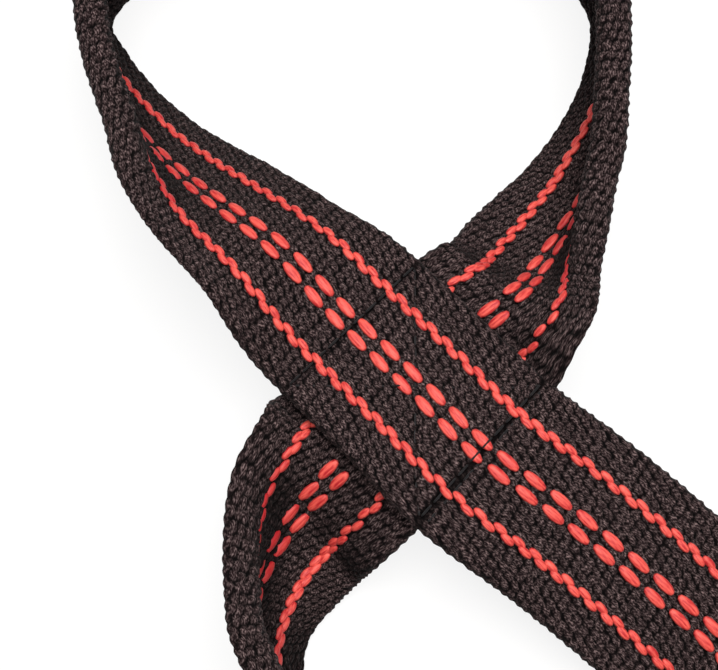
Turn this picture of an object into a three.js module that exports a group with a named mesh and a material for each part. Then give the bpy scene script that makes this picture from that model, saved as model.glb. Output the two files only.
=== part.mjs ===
// Figure eight lifting strap: one length of woven webbing, laid as two loops that
// cross in a sewn square. The crossing is held clear of the table by the loops, which
// stand on their inner edges. Both cut ends are hidden inside the square. The sewing
// thread, the red yarns and the weave are too fine for this solid and are left off it.
import * as THREE from "three";

// Driving sizes, in mm. +Z is up, and the upper loop lies towards +Y.
const WIDTH = 38; // webbing, selvage to selvage
const THICKNESS = 2.2;
const LAYER_GAP = 0.3; // between the stacked passes of the sewn square
const CROSSING_CLEAR = 14; // table to the underside of the sewn square
const UPPER_SPAN = 120; // upper loop across, between centre lines
const UPPER_REACH = 124; // crossing to the far end of the upper loop's centre line
const LOWER_SPAN = 102;
const LOWER_REACH = 116;
const END_SETBACK = 1.5; // each cut end stops this far inside the square's edge
const LEVEL_OVERRUN = 1.2; // each pass stays level this far past the square's edge

const RING_STEP = 5; // length of webbing from one ring of points to the next
const CELLS_ACROSS = 14; // flat cells from one selvage to the other

// Where the two bends of a section lie and how far each one spreads, as shares of WIDTH.
const LOWER_BEND_SPREAD = 0.56;
const UPPER_BEND_AT = 0.345;
const UPPER_BEND_SPREAD = 0.17;

// One row for each station of the webbing's centre line, in order of travel.
//   x, y   place, as shares of the loop's span and reach
//   foot   lean of the inner margin, in degrees from level
//   wall   lean of the patterned middle
//   brim   lean of the outer margin
//   fold   where foot turns into wall, as a share of WIDTH from the centre line
//   lift   height of the lowest point, as a share of CROSSING_CLEAR
const UPPER_ROUTE = [
  { x: 0.166, y: 0.152, foot: 7, wall: 25, brim: 45, fold: -0.05, lift: 1.06 },
  { x: 0.218, y: 0.226, foot: -2, wall: 69, brim: 40, fold: 0.02, lift: 0.6 },
  { x: 0.276, y: 0.312, foot: 8, wall: 105, brim: 8, fold: 0.02, lift: 0.26 },
  { x: 0.322, y: 0.394, foot: 22, wall: 122, brim: -4, fold: 0.02, lift: 0 },
  { x: 0.359, y: 0.515, foot: 40, wall: 126, brim: -2, fold: -0.04, lift: 0 },
  { x: 0.376, y: 0.652, foot: 56, wall: 128, brim: 2, fold: -0.08, lift: 0 },
  { x: 0.366, y: 0.775, foot: 66, wall: 122, brim: 14, fold: -0.1, lift: 0 },
  { x: 0.292, y: 0.882, foot: 72, wall: 112, brim: 32, fold: -0.1, lift: 0 },
  { x: 0.17, y: 0.955, foot: 75, wall: 103, brim: 50, fold: -0.1, lift: 0 },
  { x: 0.01, y: 0.99, foot: 76, wall: 98, brim: 58, fold: -0.1, lift: 0 },
  { x: -0.155, y: 1, foot: 76, wall: 98, brim: 58, fold: -0.1, lift: 0 },
  { x: -0.315, y: 0.98, foot: 75, wall: 102, brim: 50, fold: -0.1, lift: 0 },
  { x: -0.46, y: 0.93, foot: 74, wall: 110, brim: 32, fold: -0.12, lift: 0 },
  { x: -0.57, y: 0.855, foot: 73, wall: 120, brim: 14, fold: -0.15, lift: 0 },
  { x: -0.62, y: 0.777, foot: 68, wall: 127, brim: 1, fold: -0.17, lift: 0 },
  { x: -0.62, y: 0.699, foot: 54, wall: 127, brim: -5, fold: -0.12, lift: 0 },
  { x: -0.582, y: 0.585, foot: 48, wall: 125, brim: -12, fold: -0.02, lift: 0 },
  { x: -0.52, y: 0.492, foot: 40, wall: 115, brim: -8, fold: 0.03, lift: 0 },
  { x: -0.437, y: 0.402, foot: 32, wall: 76, brim: 28, fold: 0.05, lift: 0.24 },
  { x: -0.356, y: 0.329, foot: 28, wall: 40, brim: 48, fold: 0, lift: 0.62 },
  { x: -0.25, y: 0.241, foot: 28, wall: 20, brim: 45, fold: -0.11, lift: 1 },
];
const LOWER_ROUTE = [
  { x: 0.308, y: -0.227, foot: 0, wall: 0, brim: 0, fold: -0.2, lift: 0.98 },
  { x: 0.468, y: -0.338, foot: 0, wall: 0, brim: 0, fold: -0.2, lift: 0.6 },
  { x: 0.59, y: -0.431, foot: 2, wall: 5, brim: 4, fold: -0.2, lift: 0.23 },
  { x: 0.665, y: -0.545, foot: 15, wall: 32, brim: 21, fold: -0.2, lift: 0 },
  { x: 0.7, y: -0.69, foot: 40, wall: 72, brim: 46, fold: -0.15, lift: 0 },
  { x: 0.655, y: -0.835, foot: 60, wall: 92, brim: 52, fold: -0.1, lift: 0 },
  { x: 0.52, y: -0.95, foot: 70, wall: 98, brim: 55, fold: -0.1, lift: 0 },
  { x: 0.315, y: -1, foot: 75, wall: 100, brim: 55, fold: -0.1, lift: 0 },
  { x: 0.1, y: -0.965, foot: 72, wall: 108, brim: 45, fold: -0.1, lift: 0 },
  { x: -0.071, y: -0.833, foot: 64, wall: 121, brim: 32, fold: -0.1, lift: 0 },
  { x: -0.21, y: -0.647, foot: 61, wall: 124, brim: 29, fold: -0.1, lift: 0 },
  { x: -0.289, y: -0.506, foot: 58, wall: 124, brim: 30, fold: -0.06, lift: 0 },
  { x: -0.321, y: -0.398, foot: 44, wall: 122, brim: 31, fold: 0, lift: 0 },
  { x: -0.304, y: -0.299, foot: 15, wall: 99, brim: 34, fold: -0.06, lift: 0.05 },
  { x: -0.245, y: -0.205, foot: -4, wall: 58, brim: 38, fold: -0.1, lift: 0.28 },
  { x: -0.162, y: -0.142, foot: -11, wall: 14, brim: 23, fold: -0.15, lift: 0.86 },
];

const SQUARE_HALF = WIDTH / 2;
const LAYER_PITCH = THICKNESS + LAYER_GAP;
const LEVEL = { foot: 0, wall: 0, brim: 0, fold: -0.2 };
const LEANS = ["foot", "wall", "brim", "fold", "lift", "side"];

// The two passes cross at right angles, each at 45 degrees to the loops' axis.
const BACK_PASS = new THREE.Vector2(1, 1).normalize();
const FRONT_PASS = new THREE.Vector2(1, -1).normalize();

// side is 1 where the outer margin is the right-hand one of travel, and -1 where it is
// the left-hand one. It changes in the level front pass, so the webbing never twists.
function levelStation(pass, along, layer, side) {
  const place = pass.clone().multiplyScalar(along);
  return { place, ...LEVEL, lift: CROSSING_CLEAR + layer * LAYER_PITCH, side };
}

function loopStations(route, span, reach, side) {
  return route.map((row) => ({
    ...row,
    place: new THREE.Vector2(row.x * span, row.y * reach),
    lift: row.lift * CROSSING_CLEAR,
    side,
  }));
}

function strapStations() {
  const level = SQUARE_HALF + LEVEL_OVERRUN;
  const cut = SQUARE_HALF - END_SETBACK;
  return [
    levelStation(BACK_PASS, -cut, 1, 1),
    levelStation(BACK_PASS, 0, 1, 1),
    levelStation(BACK_PASS, level, 1, 1),
    ...loopStations(UPPER_ROUTE, UPPER_SPAN, UPPER_REACH, 1),
    levelStation(FRONT_PASS, -level, 2, 1),
    levelStation(FRONT_PASS, -0.1, 2, 1),
    levelStation(FRONT_PASS, 0.1, 2, -1),
    levelStation(FRONT_PASS, level, 2, -1),
    ...loopStations(LOWER_ROUTE, LOWER_SPAN, LOWER_REACH, -1),
    levelStation(BACK_PASS, -level, 0, -1),
    levelStation(BACK_PASS, 0, 0, -1),
    levelStation(BACK_PASS, cut, 0, -1),
  ];
}

// Slope of a value at each station. The monotone slope is zero wherever the value stops
// changing, so a level stretch stays exactly level.
function slopes(values, gaps, monotone) {
  const rates = gaps.map((gap, i) => (values[i + 1] - values[i]) / gap);
  return values.map((_, i) => {
    const before = rates[Math.max(i - 1, 0)];
    const after = rates[Math.min(i, rates.length - 1)];
    if (monotone) {
      return before * after <= 0 ? 0 : (2 * before * after) / (before + after);
    }
    const gapBefore = gaps[Math.max(i - 1, 0)];
    const gapAfter = gaps[Math.min(i, gaps.length - 1)];
    return (before * gapAfter + after * gapBefore) / (gapBefore + gapAfter);
  });
}

function hermite(from, to, slopeFrom, slopeTo, gap, t) {
  const t2 = t * t;
  const t3 = t2 * t;
  const ends = (2 * t3 - 3 * t2 + 1) * from + (3 * t2 - 2 * t3) * to;
  return ends + gap * ((t3 - 2 * t2 + t) * slopeFrom + (t3 - t2) * slopeTo);
}

// A smooth curve through the stations, cut into rings RING_STEP apart.
function resample(stations) {
  const gaps = [];
  for (let i = 1; i < stations.length; i += 1) {
    gaps.push(stations[i].place.distanceTo(stations[i - 1].place));
  }
  const columns = {
    x: stations.map((station) => station.place.x),
    y: stations.map((station) => station.place.y),
  };
  for (const name of LEANS) columns[name] = stations.map((station) => station[name]);
  const slope = {};
  for (const name of Object.keys(columns)) {
    slope[name] = slopes(columns[name], gaps, LEANS.includes(name));
  }
  const rings = [];
  gaps.forEach((gap, i) => {
    const count = Math.max(1, Math.round(gap / RING_STEP));
    for (let k = i === 0 ? 0 : 1; k <= count; k += 1) {
      const ring = {};
      for (const name of Object.keys(columns)) {
        const value = columns[name];
        const grade = slope[name];
        ring[name] = hermite(value[i], value[i + 1], grade[i], grade[i + 1], gap, k / count);
      }
      rings.push(ring);
    }
  });
  return rings;
}

// Points of one ring around the webbing: face up in travel order, then face down.
function ringPoints(ring, right) {
  const side = Math.sign(ring.side);
  const outward = right.clone().multiplyScalar(side);
  const lean = (q) => {
    const lower = THREE.MathUtils.smoothstep((q - ring.fold) / LOWER_BEND_SPREAD + 0.5, 0, 1);
    const upper = THREE.MathUtils.smoothstep((q - UPPER_BEND_AT) / UPPER_BEND_SPREAD + 0.5, 0, 1);
    const degrees = ring.foot + (ring.wall - ring.foot) * lower + (ring.brim - ring.wall) * upper;
    return THREE.MathUtils.degToRad(degrees);
  };
  const cell = WIDTH / CELLS_ACROSS;
  const section = [{ out: 0, up: 0, lean: lean(-0.5) }];
  for (let i = 1; i <= CELLS_ACROSS; i += 1) {
    const middle = lean((i - 0.5) / CELLS_ACROSS - 0.5);
    const last = section[i - 1];
    const out = last.out + cell * Math.cos(middle);
    const up = last.up + cell * Math.sin(middle);
    section.push({ out, up, lean: lean(i / CELLS_ACROSS - 0.5) });
  }
  const centre = section[CELLS_ACROSS / 2].out;
  const half = THICKNESS / 2;
  const faces = [1, -1].map((face) =>
    section.map(({ out, up, lean: tilt }) => ({
      out: out - centre - face * half * Math.sin(tilt),
      up: up + face * half * Math.cos(tilt),
    })),
  );
  const lowest = Math.min(...faces.flat().map((point) => point.up));
  const place = ({ out, up }) =>
    new THREE.Vector3(ring.x + outward.x * out, ring.y + outward.y * out, up - lowest + ring.lift);
  const [upper, under] = faces.map((points) => points.map(place));
  if (side < 0) {
    upper.reverse();
    under.reverse();
  }
  return [...upper, ...under.reverse()];
}

// One closed solid: rings joined by quads, with a flat cut at each end.
function webbingGeometry() {
  const rings = resample(strapStations());
  const loops = rings.map((ring, i) => {
    const before = rings[Math.max(i - 1, 0)];
    const after = rings[Math.min(i + 1, rings.length - 1)];
    const travel = new THREE.Vector2(after.x - before.x, after.y - before.y).normalize();
    return ringPoints(ring, new THREE.Vector2(travel.y, -travel.x));
  });
  const around = loops[0].length;
  const index = [];
  for (let i = 0; i + 1 < loops.length; i += 1) {
    for (let k = 0; k < around; k += 1) {
      const a = i * around + k;
      const b = i * around + ((k + 1) % around);
      index.push(a, b, b + around, a, b + around, a + around);
    }
  }
  const last = (loops.length - 1) * around;
  for (let k = 0; k < CELLS_ACROSS; k += 1) {
    const top = k;
    const under = around - 1 - k;
    index.push(top, under, top + 1, top + 1, under, under - 1);
    index.push(last + top, last + top + 1, last + under);
    index.push(last + top + 1, last + under - 1, last + under);
  }
  const geometry = new THREE.BufferGeometry();
  geometry.setFromPoints(loops.flat());
  geometry.setIndex(index);
  geometry.computeVertexNormals();
  return geometry;
}

// The row's origin is the middle of the strap's outline at table height.
function standOnOrigin(geometry) {
  geometry.computeBoundingBox();
  const { min, max } = geometry.boundingBox;
  geometry.translate(-(min.x + max.x) / 2, -(min.y + max.y) / 2, -min.z);
  return geometry;
}

const wovenBlack = new THREE.MeshStandardMaterial({ color: 0x2d2a2b, roughness: 0.9, metalness: 0 });
const webbing = new THREE.Mesh(standOnOrigin(webbingGeometry()), wovenBlack);
webbing.name = "webbing";

const strap = new THREE.Group();
strap.add(webbing);
export default strap;
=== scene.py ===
import math

import bpy
import numpy as np
from mathutils import Matrix, Vector


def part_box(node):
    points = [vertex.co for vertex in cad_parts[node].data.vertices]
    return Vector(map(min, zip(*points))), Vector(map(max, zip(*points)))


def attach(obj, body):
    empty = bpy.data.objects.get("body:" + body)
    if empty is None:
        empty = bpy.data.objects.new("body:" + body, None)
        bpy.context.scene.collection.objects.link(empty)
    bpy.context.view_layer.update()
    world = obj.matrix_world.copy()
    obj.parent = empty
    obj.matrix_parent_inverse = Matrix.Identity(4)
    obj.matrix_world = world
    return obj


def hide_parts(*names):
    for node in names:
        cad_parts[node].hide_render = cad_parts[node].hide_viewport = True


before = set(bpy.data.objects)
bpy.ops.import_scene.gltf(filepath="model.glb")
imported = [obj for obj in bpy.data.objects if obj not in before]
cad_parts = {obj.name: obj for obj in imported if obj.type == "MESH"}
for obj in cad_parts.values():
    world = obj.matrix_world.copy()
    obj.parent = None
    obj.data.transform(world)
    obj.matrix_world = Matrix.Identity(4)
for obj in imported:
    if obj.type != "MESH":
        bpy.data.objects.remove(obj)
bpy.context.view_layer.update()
MM = 0.001


# The table, the light and the camera. The strap lies on a plain white lit table top, under
# one wide soft lamp at the upper right and an even pale room. The camera looks down on
# the sewn square from close by, a little from the front.
TABLE_SIZE = 3.0
TABLE_COLOUR = "#6f6e6d"
TABLE_GLOW = 0.83
ROOM_STRENGTH = 0.32
LAMP_POWER = 7.5
LAMP_SIZE = 0.6
LAMP_PLACE = Vector((0.09, 0.07, 0.73))
CAMERA_AIM = Vector((-14.89, 6.99, 21.0)) * MM
CAMERA_DISTANCE = 260 * MM
CAMERA_FROM_VERTICAL = math.radians(18)
CAMERA_TURN = math.radians(12)
CAMERA_ROLL = math.radians(0.8)
CAMERA_LENS = 64.2


def linear(shade):
    """A hex sRGB colour as linear red, green, blue and alpha."""
    parts = [int(shade[i : i + 2], 16) / 255 for i in (1, 3, 5)]
    return (*(p / 12.92 if p <= 0.04045 else ((p + 0.055) / 1.055) ** 2.4 for p in parts), 1.0)


def add_node(tree, kind, inputs=None, **settings):
    """Adds a node, with its settings and its inputs, each a value or another node's output."""
    made = tree.nodes.new(kind)
    for name, value in settings.items():
        setattr(made, name, value)
    for name, value in (inputs or {}).items():
        if isinstance(value, bpy.types.NodeSocket):
            tree.links.new(value, made.inputs[name])
        else:
            made.inputs[name].default_value = value
    return made


def new_finish(name):
    """An empty material's tree, and its output node."""
    finish = bpy.data.materials.new(name)
    finish.use_nodes = True
    finish.node_tree.nodes.clear()
    return finish, finish.node_tree, add_node(finish.node_tree, "ShaderNodeOutputMaterial")


def put_in_scene(name, data):
    """A new object in the scene, from a mesh, a light or a camera."""
    made = bpy.data.objects.new(name, data)
    bpy.context.scene.collection.objects.link(made)
    return made


def opal_table():
    """Opal white sheet, lit evenly from below, so the strap's shadow on it stays faint."""
    finish, tree, output = new_finish("lit opal white sheet")
    skin = add_node(
        tree,
        "ShaderNodeBsdfPrincipled",
        {
            "Base Color": linear(TABLE_COLOUR),
            "Roughness": 0.9,
            "Emission Color": linear("#ffffff"),
            "Emission Strength": TABLE_GLOW,
        },
    )
    tree.links.new(skin.outputs["BSDF"], output.inputs["Surface"])
    return finish


half = TABLE_SIZE / 2
table_mesh = bpy.data.meshes.new("table_top")
table_mesh.from_pydata(
    [(-half, -half, 0), (half, -half, 0), (half, half, 0), (-half, half, 0)], [], [(0, 1, 2, 3)]
)
table_top = put_in_scene("table_top", table_mesh)
table_mesh.materials.append(opal_table())

lamp_data = bpy.data.lights.new("soft_lamp", "AREA")
lamp_data.energy = LAMP_POWER
lamp_data.size = LAMP_SIZE
lamp = put_in_scene("soft_lamp", lamp_data)
lamp.location = LAMP_PLACE
lamp.rotation_euler = (-LAMP_PLACE).to_track_quat("-Z", "Y").to_euler()

room = bpy.data.worlds.new("pale_room")
room.use_nodes = True
room.node_tree.nodes.clear()
room_light = add_node(
    room.node_tree,
    "ShaderNodeBackground",
    {"Color": linear("#ffffff"), "Strength": ROOM_STRENGTH},
)
room_output = add_node(room.node_tree, "ShaderNodeOutputWorld")
room.node_tree.links.new(room_light.outputs["Background"], room_output.inputs["Surface"])
bpy.context.scene.world = room
bpy.context.scene.view_settings.view_transform = "Standard"

camera_data = bpy.data.cameras.new("camera")
camera_data.lens = CAMERA_LENS
camera_data.clip_start = 10 * MM
camera = put_in_scene("camera", camera_data)
back = Vector(
    (
        math.sin(CAMERA_TURN) * math.sin(CAMERA_FROM_VERTICAL),
        -math.cos(CAMERA_TURN) * math.sin(CAMERA_FROM_VERTICAL),
        math.cos(CAMERA_FROM_VERTICAL),
    )
)
level_right = Vector((0, 1, 0)).cross(back).normalized()
level_up = back.cross(level_right)
right = math.cos(CAMERA_ROLL) * level_right + math.sin(CAMERA_ROLL) * level_up
up = back.cross(right)
camera.matrix_world = Matrix.Translation(CAMERA_AIM + CAMERA_DISTANCE * back) @ Matrix(
    (right, up, back)
).transposed().to_4x4()
bpy.context.scene.camera = camera


# The webbing. It is one length of heavy black cotton webbing, woven on a narrow loom with
# thick two-ply warp, so each face is a field of round yarn crowns. It goes round in two
# loops and crosses itself in three layers, with both cut ends inside the sewn square.
WIDTH = 38 * MM
THICKNESS = 2.2 * MM
LAYER_PITCH = 2.5 * MM
CROSSING_CLEAR = 14 * MM
UPPER_SPAN, UPPER_REACH = 120 * MM, 124 * MM
LOWER_SPAN, LOWER_REACH = 102 * MM, 116 * MM
SQUARE_HALF = WIDTH / 2
END_SETBACK = 1.5 * MM
LEVEL_OVERRUN = 1.2 * MM
HAND_CHANGE = 0.1 * MM
FLAT_FOLD = -0.2
LOWER_BEND_SPREAD = 0.56
UPPER_BEND_AT, UPPER_BEND_SPREAD = 0.345, 0.17

# The lie of each loop: x and y as shares of its span and reach; the lean in degrees of the
# inner margin, the patterned middle and the outer margin; where the first turns into the
# second, as a share of the width; and the lowest point, as a share of CROSSING_CLEAR.
COLUMNS = ("x", "y", "foot", "wall", "brim", "fold", "lift", "side")
UPPER_ROUTE = (
    (0.166, 0.152, 7, 25, 45, -0.05, 1.06),
    (0.218, 0.226, -2, 69, 40, 0.02, 0.6),
    (0.276, 0.312, 8, 105, 8, 0.02, 0.26),
    (0.322, 0.394, 22, 122, -4, 0.02, 0),
    (0.359, 0.515, 40, 126, -2, -0.04, 0),
    (0.376, 0.652, 56, 128, 2, -0.08, 0),
    (0.366, 0.775, 66, 122, 14, -0.1, 0),
    (0.292, 0.882, 72, 112, 32, -0.1, 0),
    (0.17, 0.955, 75, 103, 50, -0.1, 0),
    (0.01, 0.99, 76, 98, 58, -0.1, 0),
    (-0.155, 1, 76, 98, 58, -0.1, 0),
    (-0.315, 0.98, 75, 102, 50, -0.1, 0),
    (-0.46, 0.93, 74, 110, 32, -0.12, 0),
    (-0.57, 0.855, 73, 120, 14, -0.15, 0),
    (-0.62, 0.777, 68, 127, 1, -0.17, 0),
    (-0.62, 0.699, 54, 127, -5, -0.12, 0),
    (-0.582, 0.585, 48, 125, -12, -0.02, 0),
    (-0.52, 0.492, 40, 115, -8, 0.03, 0),
    (-0.437, 0.402, 32, 76, 28, 0.05, 0.24),
    (-0.356, 0.329, 28, 40, 48, 0, 0.62),
    (-0.25, 0.241, 28, 20, 45, -0.11, 1),
)
LOWER_ROUTE = (
    (0.308, -0.227, 0, 0, 0, -0.2, 0.98),
    (0.468, -0.338, 0, 0, 0, -0.2, 0.6),
    (0.59, -0.431, 2, 5, 4, -0.2, 0.23),
    (0.665, -0.545, 15, 32, 21, -0.2, 0),
    (0.7, -0.69, 40, 72, 46, -0.15, 0),
    (0.655, -0.835, 60, 92, 52, -0.1, 0),
    (0.52, -0.95, 70, 98, 55, -0.1, 0),
    (0.315, -1, 75, 100, 55, -0.1, 0),
    (0.1, -0.965, 72, 108, 45, -0.1, 0),
    (-0.071, -0.833, 64, 121, 32, -0.1, 0),
    (-0.21, -0.647, 61, 124, 29, -0.1, 0),
    (-0.289, -0.506, 58, 124, 30, -0.06, 0),
    (-0.321, -0.398, 44, 122, 31, 0, 0),
    (-0.304, -0.299, 15, 99, 34, -0.06, 0.05),
    (-0.245, -0.205, -4, 58, 38, -0.1, 0.28),
    (-0.162, -0.142, -11, 14, 23, -0.15, 0.86),
)
BACK_PASS = np.array((1, 1)) / math.sqrt(2)
FRONT_PASS = np.array((1, -1)) / math.sqrt(2)
ROUTE_STEP = 0.4 * MM
EASING_STEPS = 6
SECTION_STEPS = 190

# Each warp end passes over one thread of weft and under the next, and its neighbour the
# other way about, so the crowns of every second weft thread lie half a space aside.
WEFT_PITCH = 2.16 * MM
WEFT_SKEW = 0.056
CROWNS_ACROSS = 22
CROWN_PITCH = WIDTH / CROWNS_ACROSS
CROWN_HALF_WIDTH = 0.82 * MM
CROWN_HALF_LENGTH = 1.12 * MM
CROWN_HEIGHT = 0.54 * MM
CROWN_SQUARENESS = 2.2
CROWN_LEAN = 0.16
CROWN_LEAN_CHANCE = 0.22
CROWN_HEIGHT_CHANCE = 0.25
CROWN_STRAY_ALONG, CROWN_STRAY_ACROSS = 0.17 * MM, 0.12 * MM
CROWNS_LEFT, SPARE_CROWNS = CROWNS_ACROSS // 2 + 2, 6
WEFT_THREADS, SPARE_WEFTS = 400, 4
CELLS_A_CROWN = 5
BACK_CELLS_A_CROWN = 4
SELVAGE_CELLS = 4
LENGTHS = ("webbing_upper_right", "webbing_upper_left", "webbing_crossing", "webbing_lower_left")


def level_station(heading, along, layer, side):
    """A station on a level pass of the square, on a layer counted from the bottom. side is 1
    where the outer margin is on the right of travel, and -1 where it is on the left."""
    return (*(heading * along), 0, 0, 0, FLAT_FOLD, CROSSING_CLEAR + layer * LAYER_PITCH, side)


def loop_stations(route, span, reach, side):
    """The stations of one loop at its real size."""
    return [
        (x * span, y * reach, *leans, lift * CROSSING_CLEAR, side) for x, y, *leans, lift in route
    ]


def strap_stations():
    """Every station from one cut end to the other: back pass, upper loop, front pass, lower
    loop, and the back pass again under the rest."""
    level, cut = SQUARE_HALF + LEVEL_OVERRUN, SQUARE_HALF - END_SETBACK
    return np.array(
        [level_station(BACK_PASS, along, 1, 1) for along in (-cut, 0, level)]
        + loop_stations(UPPER_ROUTE, UPPER_SPAN, UPPER_REACH, 1)
        + [level_station(FRONT_PASS, along, 2, 1) for along in (-level, -HAND_CHANGE)]
        + [level_station(FRONT_PASS, along, 2, -1) for along in (HAND_CHANGE, level)]
        + loop_stations(LOWER_ROUTE, LOWER_SPAN, LOWER_REACH, -1)
        + [level_station(BACK_PASS, along, 0, -1) for along in (-level, 0, cut)]
    )


def slopes(values, gaps, level_stays):
    """Slope of a value at each station. With level_stays it is zero where the value stops
    changing or turns back."""
    rates = np.diff(values) / gaps
    before, after = np.insert(rates, 0, rates[0]), np.append(rates, rates[-1])
    if level_stays:
        safe = np.where(before * after > 0, before + after, 1)
        return np.where(before * after > 0, 2 * before * after / safe, 0)
    gap_before, gap_after = np.insert(gaps, 0, gaps[0]), np.append(gaps, gaps[-1])
    return (before * gap_after + after * gap_before) / (gap_before + gap_after)


def eased(values, reach):
    """The values with their small corners rounded off, and their two ends left in place."""
    window = np.hanning(2 * reach + 1)
    ends = 2 * values[0] - values[reach:0:-1], 2 * values[-1] - values[-2 : -reach - 2 : -1]
    return np.convolve(np.concatenate((ends[0], values, ends[1])), window / window.sum(), "valid")


def laid_rows():
    """Every column of the route, and the heading, at short even steps of a smooth curve."""
    stations = strap_stations()
    gaps = np.hypot(*np.diff(stations[:, :2], axis=0).T)
    rows = {name: [] for name in COLUMNS}
    for number, name in enumerate(COLUMNS):
        value = stations[:, number]
        slope = slopes(value, gaps, name not in ("x", "y"))
        for i, gap in enumerate(gaps):
            count = max(1, round(gap / ROUTE_STEP))
            t = np.arange(0 if i == 0 else 1, count + 1) / count
            ends = (2 * t**3 - 3 * t**2 + 1) * value[i] + (3 * t**2 - 2 * t**3) * value[i + 1]
            bow = (t**3 - 2 * t**2 + t) * slope[i] + (t**3 - t**2) * slope[i + 1]
            rows[name].append(ends + gap * bow)
    rows = {name: np.concatenate(parts) for name, parts in rows.items()}
    for name in COLUMNS[:-1]:
        rows[name] = eased(rows[name], EASING_STEPS)
    heading = np.gradient(rows["x"]), np.gradient(rows["y"])
    length = np.hypot(*heading)
    rows["heading_x"], rows["heading_y"] = heading[0] / length, heading[1] / length
    return rows


def smoothstep(t):
    """0 below 0 and 1 above 1, with an eased rise between."""
    t = np.clip(t, 0, 1)
    return t * t * (3 - 2 * t)


def running_sum(values):
    """The sum up to each place along a row, from 0."""
    return np.concatenate((np.zeros((len(values), 1)), np.cumsum(values, axis=1)), axis=1)


def middle_of(rows, across):
    """Points of the webbing's middle surface. rows has one value a row, and across is the
    place from the centre line to the right of travel, in metres, one or more for each row."""
    row = {name: column[:, None] for name, column in rows.items()}
    side = np.where(row["side"] < 0, -1.0, 1.0)
    steps = SECTION_STEPS
    q = (np.arange(steps) + 0.5)[None, :] / steps - 0.5
    low = smoothstep((q - row["fold"]) / LOWER_BEND_SPREAD + 0.5)
    high = smoothstep((q - UPPER_BEND_AT) / UPPER_BEND_SPREAD + 0.5)
    lean = np.radians(
        row["foot"] + (row["wall"] - row["foot"]) * low + (row["brim"] - row["wall"]) * high
    )
    out = running_sum(np.cos(lean)) * WIDTH / steps
    rise = running_sum(np.sin(lean)) * WIDTH / steps
    out -= out[:, steps // 2, None]
    lowest = (rise[:, 1:] - THICKNESS / 2 * np.abs(np.cos(lean))).min(axis=1)[:, None]
    place = np.clip((side * across / WIDTH + 0.5) * steps, 0, steps - 1e-6)
    cell = place.astype(int)
    share = place - cell
    aside, height = (
        np.take_along_axis(line, cell, 1) * (1 - share)
        + np.take_along_axis(line, cell + 1, 1) * share
        for line in (out, rise)
    )
    x = row["x"] + row["heading_y"] * side * aside
    y = row["y"] - row["heading_x"] * side * aside
    return np.stack((x, y, height - lowest + row["lift"]), axis=-1)


def rows_at(along):
    """The route's columns at distances along the webbing."""
    return {name: np.interp(along, ALONG, column) for name, column in ROWS.items()}


ROWS = laid_rows()
centre_line = middle_of(ROWS, np.zeros((len(ROWS["x"]), 1)))[:, 0]
ALONG = np.insert(np.cumsum(np.linalg.norm(np.diff(centre_line, axis=0), axis=1)), 0, 0)
LENGTH = ALONG[-1]
# Where the front pass crosses the middle of the sewn square, as a distance along the webbing.
FRONT_CENTRE = float(np.interp(0, -ROWS["side"], ALONG))

# For each crown of each face: how far it strays along and across, its lean and its height.
# There are spare crowns past both edges and both cut ends.
CROWN_CHANCE = np.random.default_rng(38).uniform(
    -1, 1, (2, WEFT_THREADS, CROWNS_ACROSS + SPARE_CROWNS, 4)
)


def crown_field(across, along, face):
    """Height of the yarn crowns at each point of one face, from 0 in the gaps to about 1."""
    best = np.zeros(across.shape)
    along = along - WEFT_SKEW * across
    for weft_step in (-1, 0, 1):
        weft = np.round(along / WEFT_PITCH).astype(int) + weft_step
        aside = 0.5 * (weft % 2)
        for end_step in (-1, 0, 1):
            end = np.round(across / CROWN_PITCH - aside).astype(int) + end_step
            chance = CROWN_CHANCE[face, weft + SPARE_WEFTS, end + CROWNS_LEFT]
            d_along = along - weft * WEFT_PITCH - CROWN_STRAY_ALONG * chance[..., 0]
            d_across = across - (end + aside) * CROWN_PITCH - CROWN_STRAY_ACROSS * chance[..., 1]
            d_across = d_across - (CROWN_LEAN + CROWN_LEAN_CHANCE * chance[..., 2]) * d_along
            spread = (np.abs(d_across) / CROWN_HALF_WIDTH) ** CROWN_SQUARENESS
            spread = spread + (np.abs(d_along) / CROWN_HALF_LENGTH) ** CROWN_SQUARENESS
            height = 1 + CROWN_HEIGHT_CHANCE * chance[..., 3]
            best = np.maximum(best, np.sqrt(np.clip(1 - spread, 0, 1)) * height)
    return best


# Both red patterns are woven in, so the black ground is left low where they lie. A bed is
# the low ground under a red, and its edge is the slope up to the free ground.
ZIGZAG_AT = 0.275 * WIDTH
ZIGZAG_SWING = 0.45 * MM
ZIGZAG_PHASE = -1.34 * MM
DASH_AT = 1.62 * MM
DASH_PITCH = 3 * WEFT_PITCH
DASH_LENGTH = 5.65 * MM
DASH_WIDTH = 2.35 * MM
DASH_PHASE = -2.35 * MM
ZIGZAG_BED_HALF, ZIGZAG_BED_EDGE = 1.28 * MM, 0.8 * MM
DASH_BED_REACH, DASH_BED_STEEPNESS = 1.05, 1.9


def under_red(across, along):
    """1 where a red yarn covers the ground, and 0 where the ground is free."""
    from_zigzag = np.abs(np.abs(across) - ZIGZAG_AT)
    zigzag_bed = np.clip((ZIGZAG_BED_HALF - from_zigzag) / ZIGZAG_BED_EDGE, 0, 1)
    beside = (np.abs(across) - DASH_AT) / (DASH_WIDTH / 2)
    turn = (along - FRONT_CENTRE - DASH_PHASE - WEFT_SKEW * across) / DASH_PITCH
    ahead = (turn - np.round(turn)) * DASH_PITCH / (DASH_LENGTH / 2)
    dash_bed = np.clip(DASH_BED_STEEPNESS * (DASH_BED_REACH - beside**2 - ahead**2), 0, 1)
    return np.maximum(zigzag_bed, dash_bed)


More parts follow.
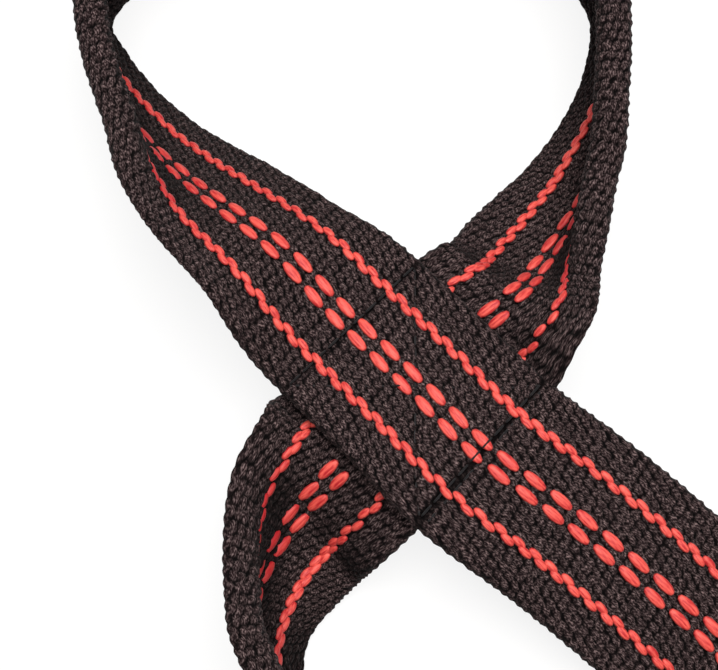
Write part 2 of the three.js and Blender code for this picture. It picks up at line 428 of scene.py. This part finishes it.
# The two seams and one diagonal of the sewing press grooves into the front pass. The second
# seam is sewn twice, side by side, so its groove is wider.
SEAM_AT = 18.2 * MM
SEAM_GROOVE, DIAGONAL_GROOVE = 0.55 * MM, 0.5 * MM
SECOND_GROOVE_ASIDE = 0.5 * MM
DIAGONAL_PULL = 0.7


def seam_press(across, along):
    """How hard the sewing pulls the ground down, from 0 to 1."""
    ahead = along - FRONT_CENTRE
    grooves = (-SEAM_AT, SEAM_AT, SEAM_AT + SECOND_GROOVE_ASIDE)
    press = sum(np.exp(-(((ahead - at) / SEAM_GROOVE) ** 2)) for at in grooves)
    inside = (np.abs(ahead) < SQUARE_HALF) * (np.abs(across) < SQUARE_HALF)
    diagonal = np.exp(-(((ahead - across) / DIAGONAL_GROOVE) ** 2)) * inside
    return np.clip(press + DIAGONAL_PULL * diagonal, 0, 1)


# The crowns are painted pale and the gaps black: partly wear on the crowns, partly painted
# light on their tops and painted shade in the gaps. A shade is the share of that paleness
# taken off as painted shade: in the hollow of a loop, where the face turns from the lamp,
# beside the reds and at a seam. A hollow starts where the upward part of the face's normal
# falls below HOLLOW_FROM, and ends at the outer margin.
WORN_AND_LIT_FROM, WORN_AND_LIT_SPREAD = 0.12, 0.65
HOLLOW_FROM, HOLLOW_SPREAD, HOLLOW_SHADE = 0.99, 0.5, 0.8
MARGIN_START = 0.6
BED_FLATTENING, BED_DEPTH, BED_SHADE = 0.6, 0.25 * MM, 0.8
SQUARE_RELIEF = 0.6
SEAM_DEPTH, SEAM_SHADE = 0.6 * MM, 0.9

# Towards its two edges the webbing grows thinner and its relief lower, and each edge bows
# out in a row of scallops, one over each thread of weft. Each scallop is painted paler over its
# bulge, as wear and as a painted highlight, and darker between.
EDGE_FROM, EDGE_SPREAD = 0.46, 0.04
EDGE_THINNING, EDGE_FLATTENING = 0.35, 0.5
SELVAGE_BULGE, SCALLOP, SELVAGE_WORN_AND_LIT = 0.75 * MM, 0.28 * MM, 0.7


def patterned(depth, worn_and_lit, rows, shares, across, along, normal):
    """The patterned face's depth and paleness, with painted shade in a loop's hollow, by the reds
    and at seams.
    """
    # Painted shade: paleness is taken off where the face turns steeply from the lamp inside the
    # loop, in the beds beside the reds and in the seam grooves.
    steep = smoothstep((HOLLOW_FROM - normal[..., 2]) / HOLLOW_SPREAD)
    past_bend = rows["side"][:, None] * shares - UPPER_BEND_AT
    inner = 1 - smoothstep(past_bend / UPPER_BEND_SPREAD + MARGIN_START)
    worn_and_lit = worn_and_lit * (1 - HOLLOW_SHADE * steep * inner)
    bed = under_red(across, along)
    depth = depth * (1 - BED_FLATTENING * bed) + BED_DEPTH * bed
    in_square = np.abs(along - FRONT_CENTRE) < SQUARE_HALF
    press = seam_press(across, along)
    depth = depth * np.where(in_square, SQUARE_RELIEF, 1.0) + SEAM_DEPTH * press
    return depth, worn_and_lit * (1 - BED_SHADE * bed) * (1 - SEAM_SHADE * press)


def woven_face(rows, along, shares, face):
    """Points of one face, 1 for the patterned one and -1 for the plain one, and how pale each is
    painted, as wear and painted light: 1 on the crowns of the flat and of the outer margins, and
    0 in the gaps, as painted shade."""
    across = np.broadcast_to(shares * WIDTH, (len(along), len(shares)))
    lengthwise = np.broadcast_to(along[:, None], across.shape)
    middle = middle_of(rows, across)
    normal = np.cross(np.gradient(middle, axis=1) * face, np.gradient(middle, axis=0))
    normal /= np.linalg.norm(normal, axis=2, keepdims=True)
    crown = crown_field(across, lengthwise, 0 if face > 0 else 1)
    depth = CROWN_HEIGHT * (1 - crown)
    # Wear and painted light on the crowns, painted shade in the gaps between them.
    worn_and_lit = smoothstep((crown - WORN_AND_LIT_FROM) / WORN_AND_LIT_SPREAD)
    if face > 0:
        depth, worn_and_lit = patterned(depth, worn_and_lit, rows, shares, across, lengthwise, normal)
    edge = np.clip((np.abs(shares) - EDGE_FROM) / EDGE_SPREAD, 0, 1) ** 2
    half = (THICKNESS / 2) * (1 - EDGE_THINNING * edge) - depth * (1 - EDGE_FLATTENING * edge)
    return middle + face * half[..., None] * normal, worn_and_lit


def over_weft(along):
    """1 where the edge yarn bows out over a thread of weft, and 0 between two threads."""
    return np.abs(np.cos(math.pi * along / WEFT_PITCH))


def selvage(start, stop, nearer, along):
    """Points round one woven edge, from the last of one face to the first of the other."""
    outward = (start + stop) / 2 - nearer
    outward /= np.linalg.norm(outward, axis=1, keepdims=True)
    turn = np.arange(1, SELVAGE_CELLS) / SELVAGE_CELLS
    scallop = SELVAGE_BULGE + SCALLOP * over_weft(along)
    bulge = np.sin(math.pi * turn)[None, :] * scallop[:, None]
    straight = start[:, None] * (1 - turn)[:, None] + stop[:, None] * turn[:, None]
    return straight + bulge[..., None] * outward[:, None]


def webbing_rings(along):
    """Rings of points round the webbing at each distance along it, and how pale each is painted, as
    wear and as painted light and shade.
    """
    rows = rows_at(along)
    face_shares = np.linspace(-0.5, 0.5, CROWNS_ACROSS * CELLS_A_CROWN + 1)
    back_shares = np.linspace(0.5, -0.5, CROWNS_ACROSS * BACK_CELLS_A_CROWN + 1)
    top, top_worn_and_lit = woven_face(rows, along, face_shares, 1)
    under, under_worn_and_lit = woven_face(rows, along, back_shares, -1)
    right_rim = selvage(top[:, -1], under[:, 0], top[:, -4], along)
    left_rim = selvage(under[:, -1], top[:, 0], top[:, 3], along)
    rim_shape = (len(along), SELVAGE_CELLS - 1)
    # Wear and painted highlight on each scallop's bulge, painted shade between.
    rim_worn_and_lit = np.broadcast_to(SELVAGE_WORN_AND_LIT * over_weft(along)[:, None], rim_shape)
    points = np.concatenate((top, right_rim, under, left_rim), axis=1)
    worn_and_lit = np.concatenate((top_worn_and_lit, rim_worn_and_lit, under_worn_and_lit, rim_worn_and_lit), axis=1)
    return points, worn_and_lit


def webbing_length(name, points, normals, worn_and_lit, along, around):
    """One closed stretch of the webbing, from a grid of rings of points."""
    rows, ring = points.shape[:2]
    corner = np.arange(ring)
    beside = (corner + 1) % ring
    start = (np.arange(rows - 1) * ring)[:, None]
    quads = np.stack(
        (start + corner, start + beside, start + ring + beside, start + ring + corner), -1
    )
    ends = np.concatenate((corner[::-1], (rows - 1) * ring + corner))
    loops = np.concatenate((quads.ravel(), ends))
    sizes = np.concatenate((np.full((rows - 1) * ring, 4), (ring, ring)))
    mesh = bpy.data.meshes.new(name)
    mesh.vertices.add(rows * ring)
    mesh.vertices.foreach_set("co", points.astype(np.float32).ravel())
    mesh.loops.add(len(loops))
    mesh.loops.foreach_set("vertex_index", loops.astype(np.int32))
    mesh.polygons.add(len(sizes))
    mesh.polygons.foreach_set("loop_start", np.insert(np.cumsum(sizes), 0, 0)[:-1].astype(np.int32))
    mesh.update(calc_edges=True)
    weave = mesh.uv_layers.new(name="weave")
    wide = np.append(around, around[-1] + (around[1] - around[0]))
    left = np.broadcast_to(wide[:-1], (rows - 1, ring))
    right_side = np.broadcast_to(wide[1:], (rows - 1, ring))
    low, high = (np.broadcast_to(a[:, None], (rows - 1, ring)) for a in (along[:-1], along[1:]))
    pairs = ((left, low), (right_side, low), (right_side, high), (left, high))
    spots = np.stack([np.stack(pair, -1) for pair in pairs], 2).reshape(-1, 2)
    spots = np.concatenate((spots, np.zeros((2 * ring, 2))))
    weave.data.foreach_set("uv", spots.astype(np.float32).ravel())
    # The paleness of wear and of painted light and shade, read by the cotton's colour.
    kept = mesh.attributes.new("worn_and_lit", "FLOAT", "POINT")
    kept.data.foreach_set("value", worn_and_lit.astype(np.float32).ravel())
    mesh.shade_smooth()
    mesh.normals_split_custom_set_from_vertices(normals.reshape(-1, 3))
    return put_in_scene(name, mesh)


# The cloth's fibres are about 0.02 mm wide, too fine to show, so their flecks are drawn as
# coarse as they need to show. They lie slantwise, as the two plies of a yarn do.
FLECK_WIDTH, FLECK_LENGTH = 0.26 * MM, 0.6 * MM
PLY_ANGLE = math.radians(24)
BLOTCH_SIZE = 1.1 * MM


def woven_black_cotton():
    """Woven black cotton: matt, with pale fibre ends and painted glints on the crowns, and gaps
    near black with painted shade.
    """
    finish, tree, output = new_finish("woven black cotton webbing")
    place = add_node(tree, "ShaderNodeUVMap", uv_map="weave").outputs["UV"]
    # The paleness: wear and painted light on the crowns, painted shade in the gaps, hollows, beds
    # and seams.
    crown = add_node(tree, "ShaderNodeAttribute", attribute_name="worn_and_lit").outputs["Fac"]
    fibres = add_node(
        tree,
        "ShaderNodeMapping",
        {
            "Vector": place,
            "Rotation": (0, 0, PLY_ANGLE),
            "Scale": (1 / FLECK_WIDTH, 1 / FLECK_LENGTH, 1),
        },
    )
    fibre = add_node(
        tree,
        "ShaderNodeTexNoise",
        {"Vector": fibres.outputs["Vector"], "Scale": 1.0, "Detail": 1.4},
    )
    blotch = add_node(
        tree, "ShaderNodeTexNoise", {"Vector": place, "Scale": 1 / BLOTCH_SIZE, "Detail": 2.0}
    )
    fleck = add_node(
        tree,
        "ShaderNodeMapRange",
        {"Value": fibre.outputs["Fac"], "From Min": 0.46, "From Max": 0.7},
    )
    patch = add_node(
        tree,
        "ShaderNodeMapRange",
        {"Value": blotch.outputs["Fac"], "From Min": 0.35, "From Max": 0.65, "To Min": 0.35},
    )
    # From the near black of the gaps, black cotton with painted shade, to the crowns' dark grey.
    ground = add_node(
        tree,
        "ShaderNodeMix",
        {"Factor": crown, "A": linear("#040202"), "B": linear("#1d1314")},
        data_type="RGBA",
    )
    lit = add_node(
        tree,
        "ShaderNodeMath",
        {0: fleck.outputs["Result"], 1: crown},
        operation="MULTIPLY",
    )
    worn_and_lit = add_node(
        tree,
        "ShaderNodeMath",
        {0: lit.outputs["Value"], 1: patch.outputs["Result"]},
        operation="MULTIPLY",
    )
    # Pale flecks on the crowns: fibre ends, partly painted glints.
    flecked = add_node(
        tree,
        "ShaderNodeMix",
        {"Factor": worn_and_lit.outputs["Value"], "A": ground.outputs["Result"], "B": linear("#8a7472")},
        data_type="RGBA",
    )
    relief = add_node(
        tree,
        "ShaderNodeBump",
        {"Height": fibre.outputs["Fac"], "Strength": 1.0, "Distance": 0.2 * MM},
    )
    skin = add_node(
        tree,
        "ShaderNodeBsdfPrincipled",
        {
            "Base Color": flecked.outputs["Result"],
            "Roughness": 0.8,
            "IOR": 1.5,
            "Specular IOR Level": 0.05,
            "Sheen Weight": 0.03,
            "Sheen Roughness": 0.5,
            "Normal": relief.outputs["Normal"],
        },
    )
    tree.links.new(skin.outputs["BSDF"], output.inputs["Surface"])
    return finish


row_count = round(LENGTH / (WEFT_PITCH / CELLS_A_CROWN)) + 1
ring_along = np.linspace(0, LENGTH, row_count)
rings, ring_worn_and_lit = webbing_rings(ring_along)
low_corner, high_corner = (np.array(corner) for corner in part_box("webbing"))
bare = rings.reshape(-1, 3)
# The move that centres the strap on the row's origin, as its solid is.
SET_DOWN = (low_corner + high_corner) / 2 - (bare.min(0) + bare.max(0)) / 2
SET_DOWN[2] = low_corner[2] - bare[:, 2].min()
rings = rings + SET_DOWN
around_ring = np.roll(rings, -1, axis=1) - np.roll(rings, 1, axis=1)
ring_normals = np.cross(around_ring, np.gradient(rings, axis=0))
ring_normals /= np.linalg.norm(ring_normals, axis=2, keepdims=True)
ring_widths = np.insert(np.cumsum(np.linalg.norm(np.diff(rings[0], axis=0), axis=1)), 0, 0)
cotton = woven_black_cotton()
cuts = np.linspace(0, row_count - 1, len(LENGTHS) + 1).round().astype(int)
for name, first, last in zip(LENGTHS, cuts[:-1], cuts[1:] + 1):
    stretch = webbing_length(
        name,
        rings[first:last],
        ring_normals[first:last],
        ring_worn_and_lit[first:last],
        ring_along[first:last],
        ring_widths,
    )
    stretch.data.materials.append(cotton)
    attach(stretch, "root")
    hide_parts("webbing")


# The two rows of red dashes along the middle. Each dash is one thick red yarn that comes
# up, floats over three threads of weft and goes down again. The tree lays one short plump
# yarn on every point that it is given, and the zigzags and the sewing use it again.
DASH_HEIGHT = 1.2 * MM
DASH_SINK = 0.05 * MM
DASH_SLANT = math.radians(5)
COVERED_LENGTH = 1.4 * MM

# The upward part of the face's normal below which a yarn is drawn into the weave, first where
# the face leans and then where it hangs over, and below which its red is painted darker as
# shade, as it turns from the lamp.
LEAN_FROM, LEAN_SPREAD, LEAN_PULL = 0.92, 0.4, 0.3 * MM
HANG_FROM, HANG_SPREAD, HANG_PULL = 0.5, 0.5, 0.45 * MM
YARN_SHADE_FROM, YARN_SHADE_SPREAD, YARN_SHADE_SHARE = 0.98, 0.6, 0.8


def yarn_tree():
    """One short plump yarn, pointed or blunt at its ends, laid on each of the given points."""
    tree = bpy.data.node_groups.new("short_yarns", "GeometryNodeTree")
    tree.interface.new_socket("Points", in_out="INPUT", socket_type="NodeSocketGeometry")
    for name in ("Length", "Width", "Height", "Bluntness"):
        tree.interface.new_socket(name, in_out="INPUT", socket_type="NodeSocketFloat")
    for name in ("Sides", "Rings"):
        tree.interface.new_socket(name, in_out="INPUT", socket_type="NodeSocketInt")
    tree.interface.new_socket("Finish", in_out="INPUT", socket_type="NodeSocketMaterial")
    tree.interface.new_socket("Yarns", in_out="OUTPUT", socket_type="NodeSocketGeometry")
    given = add_node(tree, "NodeGroupInput").outputs
    ball = add_node(
        tree,
        "GeometryNodeMeshUVSphere",
        {"Segments": given["Sides"], "Rings": given["Rings"], "Radius": 1.0},
    )
    spot = add_node(tree, "GeometryNodeInputPosition").outputs["Position"]
    parts = add_node(tree, "ShaderNodeSeparateXYZ", {"Vector": spot}).outputs
    round_x = add_node(tree, "ShaderNodeMath", {0: parts["X"], 1: parts["X"]}, operation="MULTIPLY")
    round_y = add_node(
        tree,
        "ShaderNodeMath",
        {0: parts["Y"], 1: parts["Y"], 2: round_x.outputs["Value"]},
        operation="MULTIPLY_ADD",
    )
    safe = add_node(
        tree, "ShaderNodeMath", {0: round_y.outputs["Value"], 1: 1e-6}, operation="MAXIMUM"
    )
    swell = add_node(
        tree,
        "ShaderNodeMath",
        {0: safe.outputs["Value"], 1: given["Bluntness"]},
        operation="POWER",
    )
    size = add_node(
        tree,
        "ShaderNodeCombineXYZ",
        {"X": given["Length"], "Y": given["Width"], "Z": given["Height"]},
    )
    across = [
        add_node(
            tree, "ShaderNodeMath", {0: part, 1: swell.outputs["Value"]}, operation="MULTIPLY"
        ).outputs["Value"]
        for part in (parts["X"], parts["Y"])
    ]
    lengthwise = add_node(
        tree, "ShaderNodeCombineXYZ", {"X": parts["Z"], "Y": across[0], "Z": across[1]}
    )
    half = add_node(
        tree,
        "ShaderNodeVectorMath",
        {0: lengthwise.outputs["Vector"], 1: (0.5, 0.5, 0.5)},
        operation="MULTIPLY",
    )
    sized = add_node(
        tree,
        "ShaderNodeVectorMath",
        {0: half.outputs["Vector"], 1: size.outputs["Vector"]},
        operation="MULTIPLY",
    )
    spot_kept = add_node(
        tree,
        "GeometryNodeStoreNamedAttribute",
        {"Geometry": ball.outputs["Mesh"], "Name": "yarn", "Value": spot},
        data_type="FLOAT_VECTOR",
        domain="POINT",
    )
    yarn = add_node(
        tree,
        "GeometryNodeSetPosition",
        {"Geometry": spot_kept.outputs["Geometry"], "Position": sized.outputs["Vector"]},
    )
    smooth = add_node(tree, "GeometryNodeSetShadeSmooth", {"Geometry": yarn.outputs["Geometry"]})
    raised, travel = (
        add_node(
            tree, "GeometryNodeInputNamedAttribute", {"Name": name}, data_type="FLOAT_VECTOR"
        ).outputs["Attribute"]
        for name in ("raised", "travel")
    )
    turn = add_node(
        tree,
        "FunctionNodeAxesToRotation",
        {"Primary Axis": raised, "Secondary Axis": travel},
        primary_axis="Z",
        secondary_axis="X",
    )
    laid = add_node(
        tree,
        "GeometryNodeInstanceOnPoints",
        {
            "Points": given["Points"],
            "Instance": smooth.outputs["Geometry"],
            "Rotation": turn.outputs["Rotation"],
        },
    )
    single = add_node(tree, "GeometryNodeRealizeInstances", {"Geometry": laid.outputs["Instances"]})
    dressed = add_node(
        tree,
        "GeometryNodeSetMaterial",
        {"Geometry": single.outputs["Geometry"], "Material": given["Finish"]},
    )
    add_node(tree, "NodeGroupOutput", {"Yarns": dressed.outputs["Geometry"]})
    return tree


def on_face(along, across):
    """Points of the patterned face, with the way up and the way of travel at each."""
    step = 0.2 * MM
    wide = across[:, None] + np.array((-step, 0, step))
    line = middle_of(rows_at(along), wide)
    ahead = middle_of(rows_at(along + step), across[:, None])[:, 0]
    behind = middle_of(rows_at(along - step), across[:, None])[:, 0]
    travel = ahead - behind
    raised = np.cross(line[:, 2] - line[:, 0], travel)
    raised /= np.linalg.norm(raised, axis=1, keepdims=True)
    travel /= np.linalg.norm(travel, axis=1, keepdims=True)
    return line[:, 1] + raised * THICKNESS / 2 + SET_DOWN, raised, travel


def lay_yarns(name, spots, raised, travel, finish, **sizes):
    """Lays one short yarn on every spot, and returns them all as one plain mesh piece."""
    mesh = bpy.data.meshes.new(name + "_points")
    mesh.from_pydata(spots.tolist(), [], [])
    for label, values in (("raised", raised), ("travel", travel)):
        kept = mesh.attributes.new(label, "FLOAT_VECTOR", "POINT")
        kept.data.foreach_set("vector", values.astype(np.float32).ravel())
    tone = mesh.attributes.new("tone", "FLOAT", "POINT")
    chance = np.random.default_rng(len(spots)).uniform(0, 1, len(spots))
    tone.data.foreach_set("value", chance.astype(np.float32))
    # Painted shade: a yarn's red is drawn darker where the face turns from the overhead lamp.
    painted_yarn_shade = YARN_SHADE_SHARE * smoothstep((YARN_SHADE_FROM - raised[:, 2]) / YARN_SHADE_SPREAD)
    lit_share = mesh.attributes.new("lit_share", "FLOAT", "POINT")
    lit_share.data.foreach_set("value", (1 - painted_yarn_shade).astype(np.float32))
    source = put_in_scene(name + "_points", mesh)
    layer = source.modifiers.new("yarns", "NODES")
    layer.node_group = SHORT_YARNS
    wanted = {**sizes, "Finish": finish}
    for item in SHORT_YARNS.interface.items_tree:
        if item.name in wanted:
            layer[item.identifier] = wanted[item.name]
    graph = bpy.context.evaluated_depsgraph_get()
    made = bpy.data.meshes.new_from_object(source.evaluated_get(graph))
    source.modifiers.clear()
    bpy.data.objects.remove(source)
    made.name = name
    piece = put_in_scene(name, made)
    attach(piece, "root")
    return piece


def drawn_in(raised):
    """How far the weave draws a yarn in: a little where the face leans, more where it hangs."""
    upright = raised[:, 2:]
    leaning = smoothstep((LEAN_FROM - upright) / LEAN_SPREAD)
    hanging = smoothstep((HANG_FROM - upright) / HANG_SPREAD)
    return LEAN_PULL * leaning + HANG_PULL * hanging


def seen(along):
    """False where the back passes lie hidden between the layers of the sewn square."""
    hidden = 2 * SQUARE_HALF - END_SETBACK - COVERED_LENGTH
    return (along > hidden) & (along < LENGTH - hidden)


def slanted(travel, raised, angle):
    """The way of travel turned about the way up."""
    aside = np.cross(raised, travel)
    return travel * np.cos(angle)[:, None] + aside * np.sin(angle)[:, None]


# A yarn's own place runs from -1 to 1 across it, up and along it. The bundles of its fibres
# are about 0.5 mm wide and 3 mm long on a dash, coarser than real ones, so that they show.
BUNDLE_SHARES = (0.4, 0.8, 1.1)
BUNDLE_TWIST = math.radians(10)
TONE_SHIFT = 90.0


def red_yarn():
    """Dyed polyester yarn, loosely twisted: a soft satin shine along its fine fibres, partly
    painted as pale streaks, with painted shade at its sides and where it turns from the lamp.
    """
    finish, tree, output = new_finish("red polyester yarn")
    yarn = add_node(tree, "ShaderNodeAttribute", attribute_name="yarn").outputs["Vector"]
    tone = add_node(tree, "ShaderNodeAttribute", attribute_name="tone").outputs["Fac"]
    apart = add_node(tree, "ShaderNodeMath", {0: tone, 1: TONE_SHIFT}, operation="MULTIPLY")
    shifted = add_node(
        tree, "ShaderNodeVectorMath", {0: yarn, 1: apart.outputs["Value"]}, operation="ADD"
    )
    fine = add_node(
        tree,
        "ShaderNodeMapping",
        {
            "Vector": shifted.outputs["Vector"],
            "Rotation": (0, BUNDLE_TWIST, 0),
            "Scale": tuple(1 / share for share in BUNDLE_SHARES),
        },
    )
    fibre = add_node(
        tree, "ShaderNodeTexNoise", {"Vector": fine.outputs["Vector"], "Scale": 1.0, "Detail": 3.0}
    )
    strand = add_node(
        tree,
        "ShaderNodeMapRange",
        {"Value": fibre.outputs["Fac"], "From Min": 0.32, "From Max": 0.6},
    )
    # Fibre streaks of random tone; the pale ones also stand as a painted satin sheen.
    fibre_tone_and_sheen = add_node(
        tree,
        "ShaderNodeMix",
        {"Factor": strand.outputs["Result"], "A": linear("#b41c24"), "B": linear("#ec5d50")},
        data_type="RGBA",
    )
    # Painted shade towards the yarn's sides, where it turns down into the weave.
    above = add_node(tree, "ShaderNodeSeparateXYZ", {"Vector": yarn}).outputs["Y"]
    low = add_node(
        tree,
        "ShaderNodeMapRange",
        {"Value": above, "From Min": 0.1, "From Max": 0.6, "To Min": 0.75, "To Max": 0.0},
    )
    shade = add_node(
        tree,
        "ShaderNodeMix",
        {"Factor": low.outputs["Result"], "A": fibre_tone_and_sheen.outputs["Result"], "B": linear("#8f1016")},
        data_type="RGBA",
    )
    # Painted shade: the red is darker where the face turns from the overhead lamp.
    lit_share = add_node(tree, "ShaderNodeAttribute", attribute_name="lit_share").outputs["Fac"]
    shaded_red = add_node(
        tree,
        "ShaderNodeMix",
        {"Factor": lit_share, "A": linear("#a8141f"), "B": shade.outputs["Result"]},
        data_type="RGBA",
    )
    relief = add_node(
        tree,
        "ShaderNodeBump",
        {"Height": fibre.outputs["Fac"], "Strength": 0.7, "Distance": 0.22 * MM},
    )
    skin = add_node(
        tree,
        "ShaderNodeBsdfPrincipled",
        {
            "Base Color": shaded_red.outputs["Result"],
            "Roughness": 0.5,
            "IOR": 1.55,
            "Specular IOR Level": 0.3,
            "Sheen Weight": 0.05,
            "Sheen Roughness": 0.4,
            "Normal": relief.outputs["Normal"],
        },
    )
    tree.links.new(skin.outputs["BSDF"], output.inputs["Surface"])
    return finish


SHORT_YARNS = yarn_tree()
red = red_yarn()
first_dash = -math.floor(FRONT_CENTRE / DASH_PITCH)
dash_turns = np.arange(first_dash, first_dash + math.floor(LENGTH / DASH_PITCH))
dash_along = FRONT_CENTRE + DASH_PHASE + dash_turns * DASH_PITCH
for name, across in (("red_dashes_left", -DASH_AT), ("red_dashes_right", DASH_AT)):
    shown = dash_along[seen(dash_along)] + WEFT_SKEW * across
    spots, raised, travel = on_face(shown, np.full(len(shown), across))
    travel = slanted(travel, raised, np.full(len(shown), -DASH_SLANT))
    dashes = lay_yarns(
        name,
        spots - (DASH_SINK + drawn_in(raised)) * raised,
        raised,
        travel,
        red,
        Length=DASH_LENGTH,
        Width=DASH_WIDTH,
        Height=DASH_HEIGHT,
        Bluntness=-0.06,
        Sides=10,
        Rings=6,
    )


# The two red zigzags, one along each margin. A pair of red yarns takes turns to come up
# over each thread of weft, first on one side of the line and then on the other, so the
# line swings from side to side.
LOBE_LENGTH = 3.45 * MM
LOBE_WIDTH = 1.75 * MM
LOBE_HEIGHT = 1.15 * MM
LOBE_SINK = 0.1 * MM
LOBE_SLANT = math.radians(8)

first_lobe = -math.floor(FRONT_CENTRE / WEFT_PITCH)
last_lobe = math.floor((LENGTH - FRONT_CENTRE) / WEFT_PITCH)
lobe_turns = np.arange(first_lobe, last_lobe)
lobe_along = FRONT_CENTRE + ZIGZAG_PHASE + lobe_turns * WEFT_PITCH
for name, line in (("red_zigzag_left", -ZIGZAG_AT), ("red_zigzag_right", ZIGZAG_AT)):
    across = line + ZIGZAG_SWING * np.where(lobe_turns % 2 == 0, -1, 1)
    shown = seen(lobe_along)
    spots, raised, travel = on_face(lobe_along[shown] + WEFT_SKEW * line, across[shown])
    travel = slanted(travel, raised, np.full(shown.sum(), -LOBE_SLANT))
    zigzag = lay_yarns(
        name,
        spots - (LOBE_SINK + drawn_in(raised)) * raised,
        raised,
        travel,
        red,
        Length=LOBE_LENGTH,
        Width=LOBE_WIDTH,
        Height=LOBE_HEIGHT,
        Bluntness=-0.02,
        Sides=8,
        Rings=6,
    )


# The sewing. Black bonded thread is lock-stitched through all three layers, across the
# front pass at both sides of the square and from corner to corner. The stitches pull down
# into the crowns, so only their backs show, and they pass over the red yarns.
THREAD_WIDTH = 0.5 * MM
STITCH_PITCH = 3.4 * MM
STITCH_LENGTH = 3.1 * MM
SEAM_INSET = 1.2 * MM
SECOND_ROW_ASIDE = 1.3 * MM
LIFT_OVER_RED = 0.65 * MM
RED_COVERS = 0.8
TWIST_SCALE = 4.0


def sewing_thread():
    """Black bonded polyester thread: smooth and slightly waxed, so it shines more than cotton."""
    finish, tree, output = new_finish("black bonded thread")
    yarn = add_node(tree, "ShaderNodeAttribute", attribute_name="yarn").outputs["Vector"]
    twist = add_node(
        tree,
        "ShaderNodeTexWave",
        {"Vector": yarn, "Scale": TWIST_SCALE, "Distortion": 0.6},
        wave_type="BANDS",
        bands_direction="DIAGONAL",
    )
    relief = add_node(
        tree,
        "ShaderNodeBump",
        {"Height": twist.outputs["Fac"], "Strength": 0.5, "Distance": 0.08 * MM},
    )
    shade = add_node(
        tree,
        "ShaderNodeMix",
        {"Factor": twist.outputs["Fac"], "A": linear("#100e0f"), "B": linear("#252223")},
        data_type="RGBA",
    )
    skin = add_node(
        tree,
        "ShaderNodeBsdfPrincipled",
        {
            "Base Color": shade.outputs["Result"],
            "Roughness": 0.42,
            "IOR": 1.5,
            "Specular IOR Level": 0.3,
            "Normal": relief.outputs["Normal"],
        },
    )
    tree.links.new(skin.outputs["BSDF"], output.inputs["Surface"])
    return finish


def seam_line(start, stop):
    """Middles of the stitches from one spot of the front pass to another, and their angle."""
    start, stop = np.array(start), np.array(stop)
    length = np.linalg.norm(stop - start)
    count = round(length / STITCH_PITCH)
    share = (np.arange(count) + 0.5) / count
    spots = start + share[:, None] * (stop - start)
    return spots, np.full(count, math.atan2(*(stop - start)[::-1]))


# Each line of stitches: how deep its thread sinks in mm, and its two ends on the front pass.
rim = SQUARE_HALF - SEAM_INSET
second_row = SEAM_AT + SECOND_ROW_ASIDE
seams = (
    (0.05, (-SEAM_AT, -rim), (-SEAM_AT, rim)),
    (0.32, (SEAM_AT, -rim), (SEAM_AT, rim)),
    (0.45, (second_row, -rim), (second_row, rim)),
    (0.65, (-SEAM_AT, -rim), (SEAM_AT, rim)),
    (0.42, (-SEAM_AT, rim), (SEAM_AT, -rim)),
)
lines = [(sink, *seam_line(start, stop)) for sink, start, stop in seams]
stitch_spots = np.concatenate([spots for sink, spots, angle in lines])
stitch_angles = np.concatenate([angle for sink, spots, angle in lines])
stitch_sinks = np.concatenate([np.full(len(spots), sink * MM) for sink, spots, angle in lines])
stitch_along = FRONT_CENTRE + stitch_spots[:, 0]
over_red = under_red(stitch_spots[:, 1], stitch_along) > RED_COVERS
stitch_sinks -= LIFT_OVER_RED * over_red
spots, raised, travel = on_face(stitch_along, stitch_spots[:, 1])
stitches = lay_yarns(
    "box_stitches",
    spots - stitch_sinks[:, None] * raised,
    raised,
    slanted(travel, raised, -stitch_angles),
    sewing_thread(),
    Length=STITCH_LENGTH,
    Width=THREAD_WIDTH,
    Height=THREAD_WIDTH,
    Bluntness=-0.25,
    Sides=8,
    Rings=6,
)
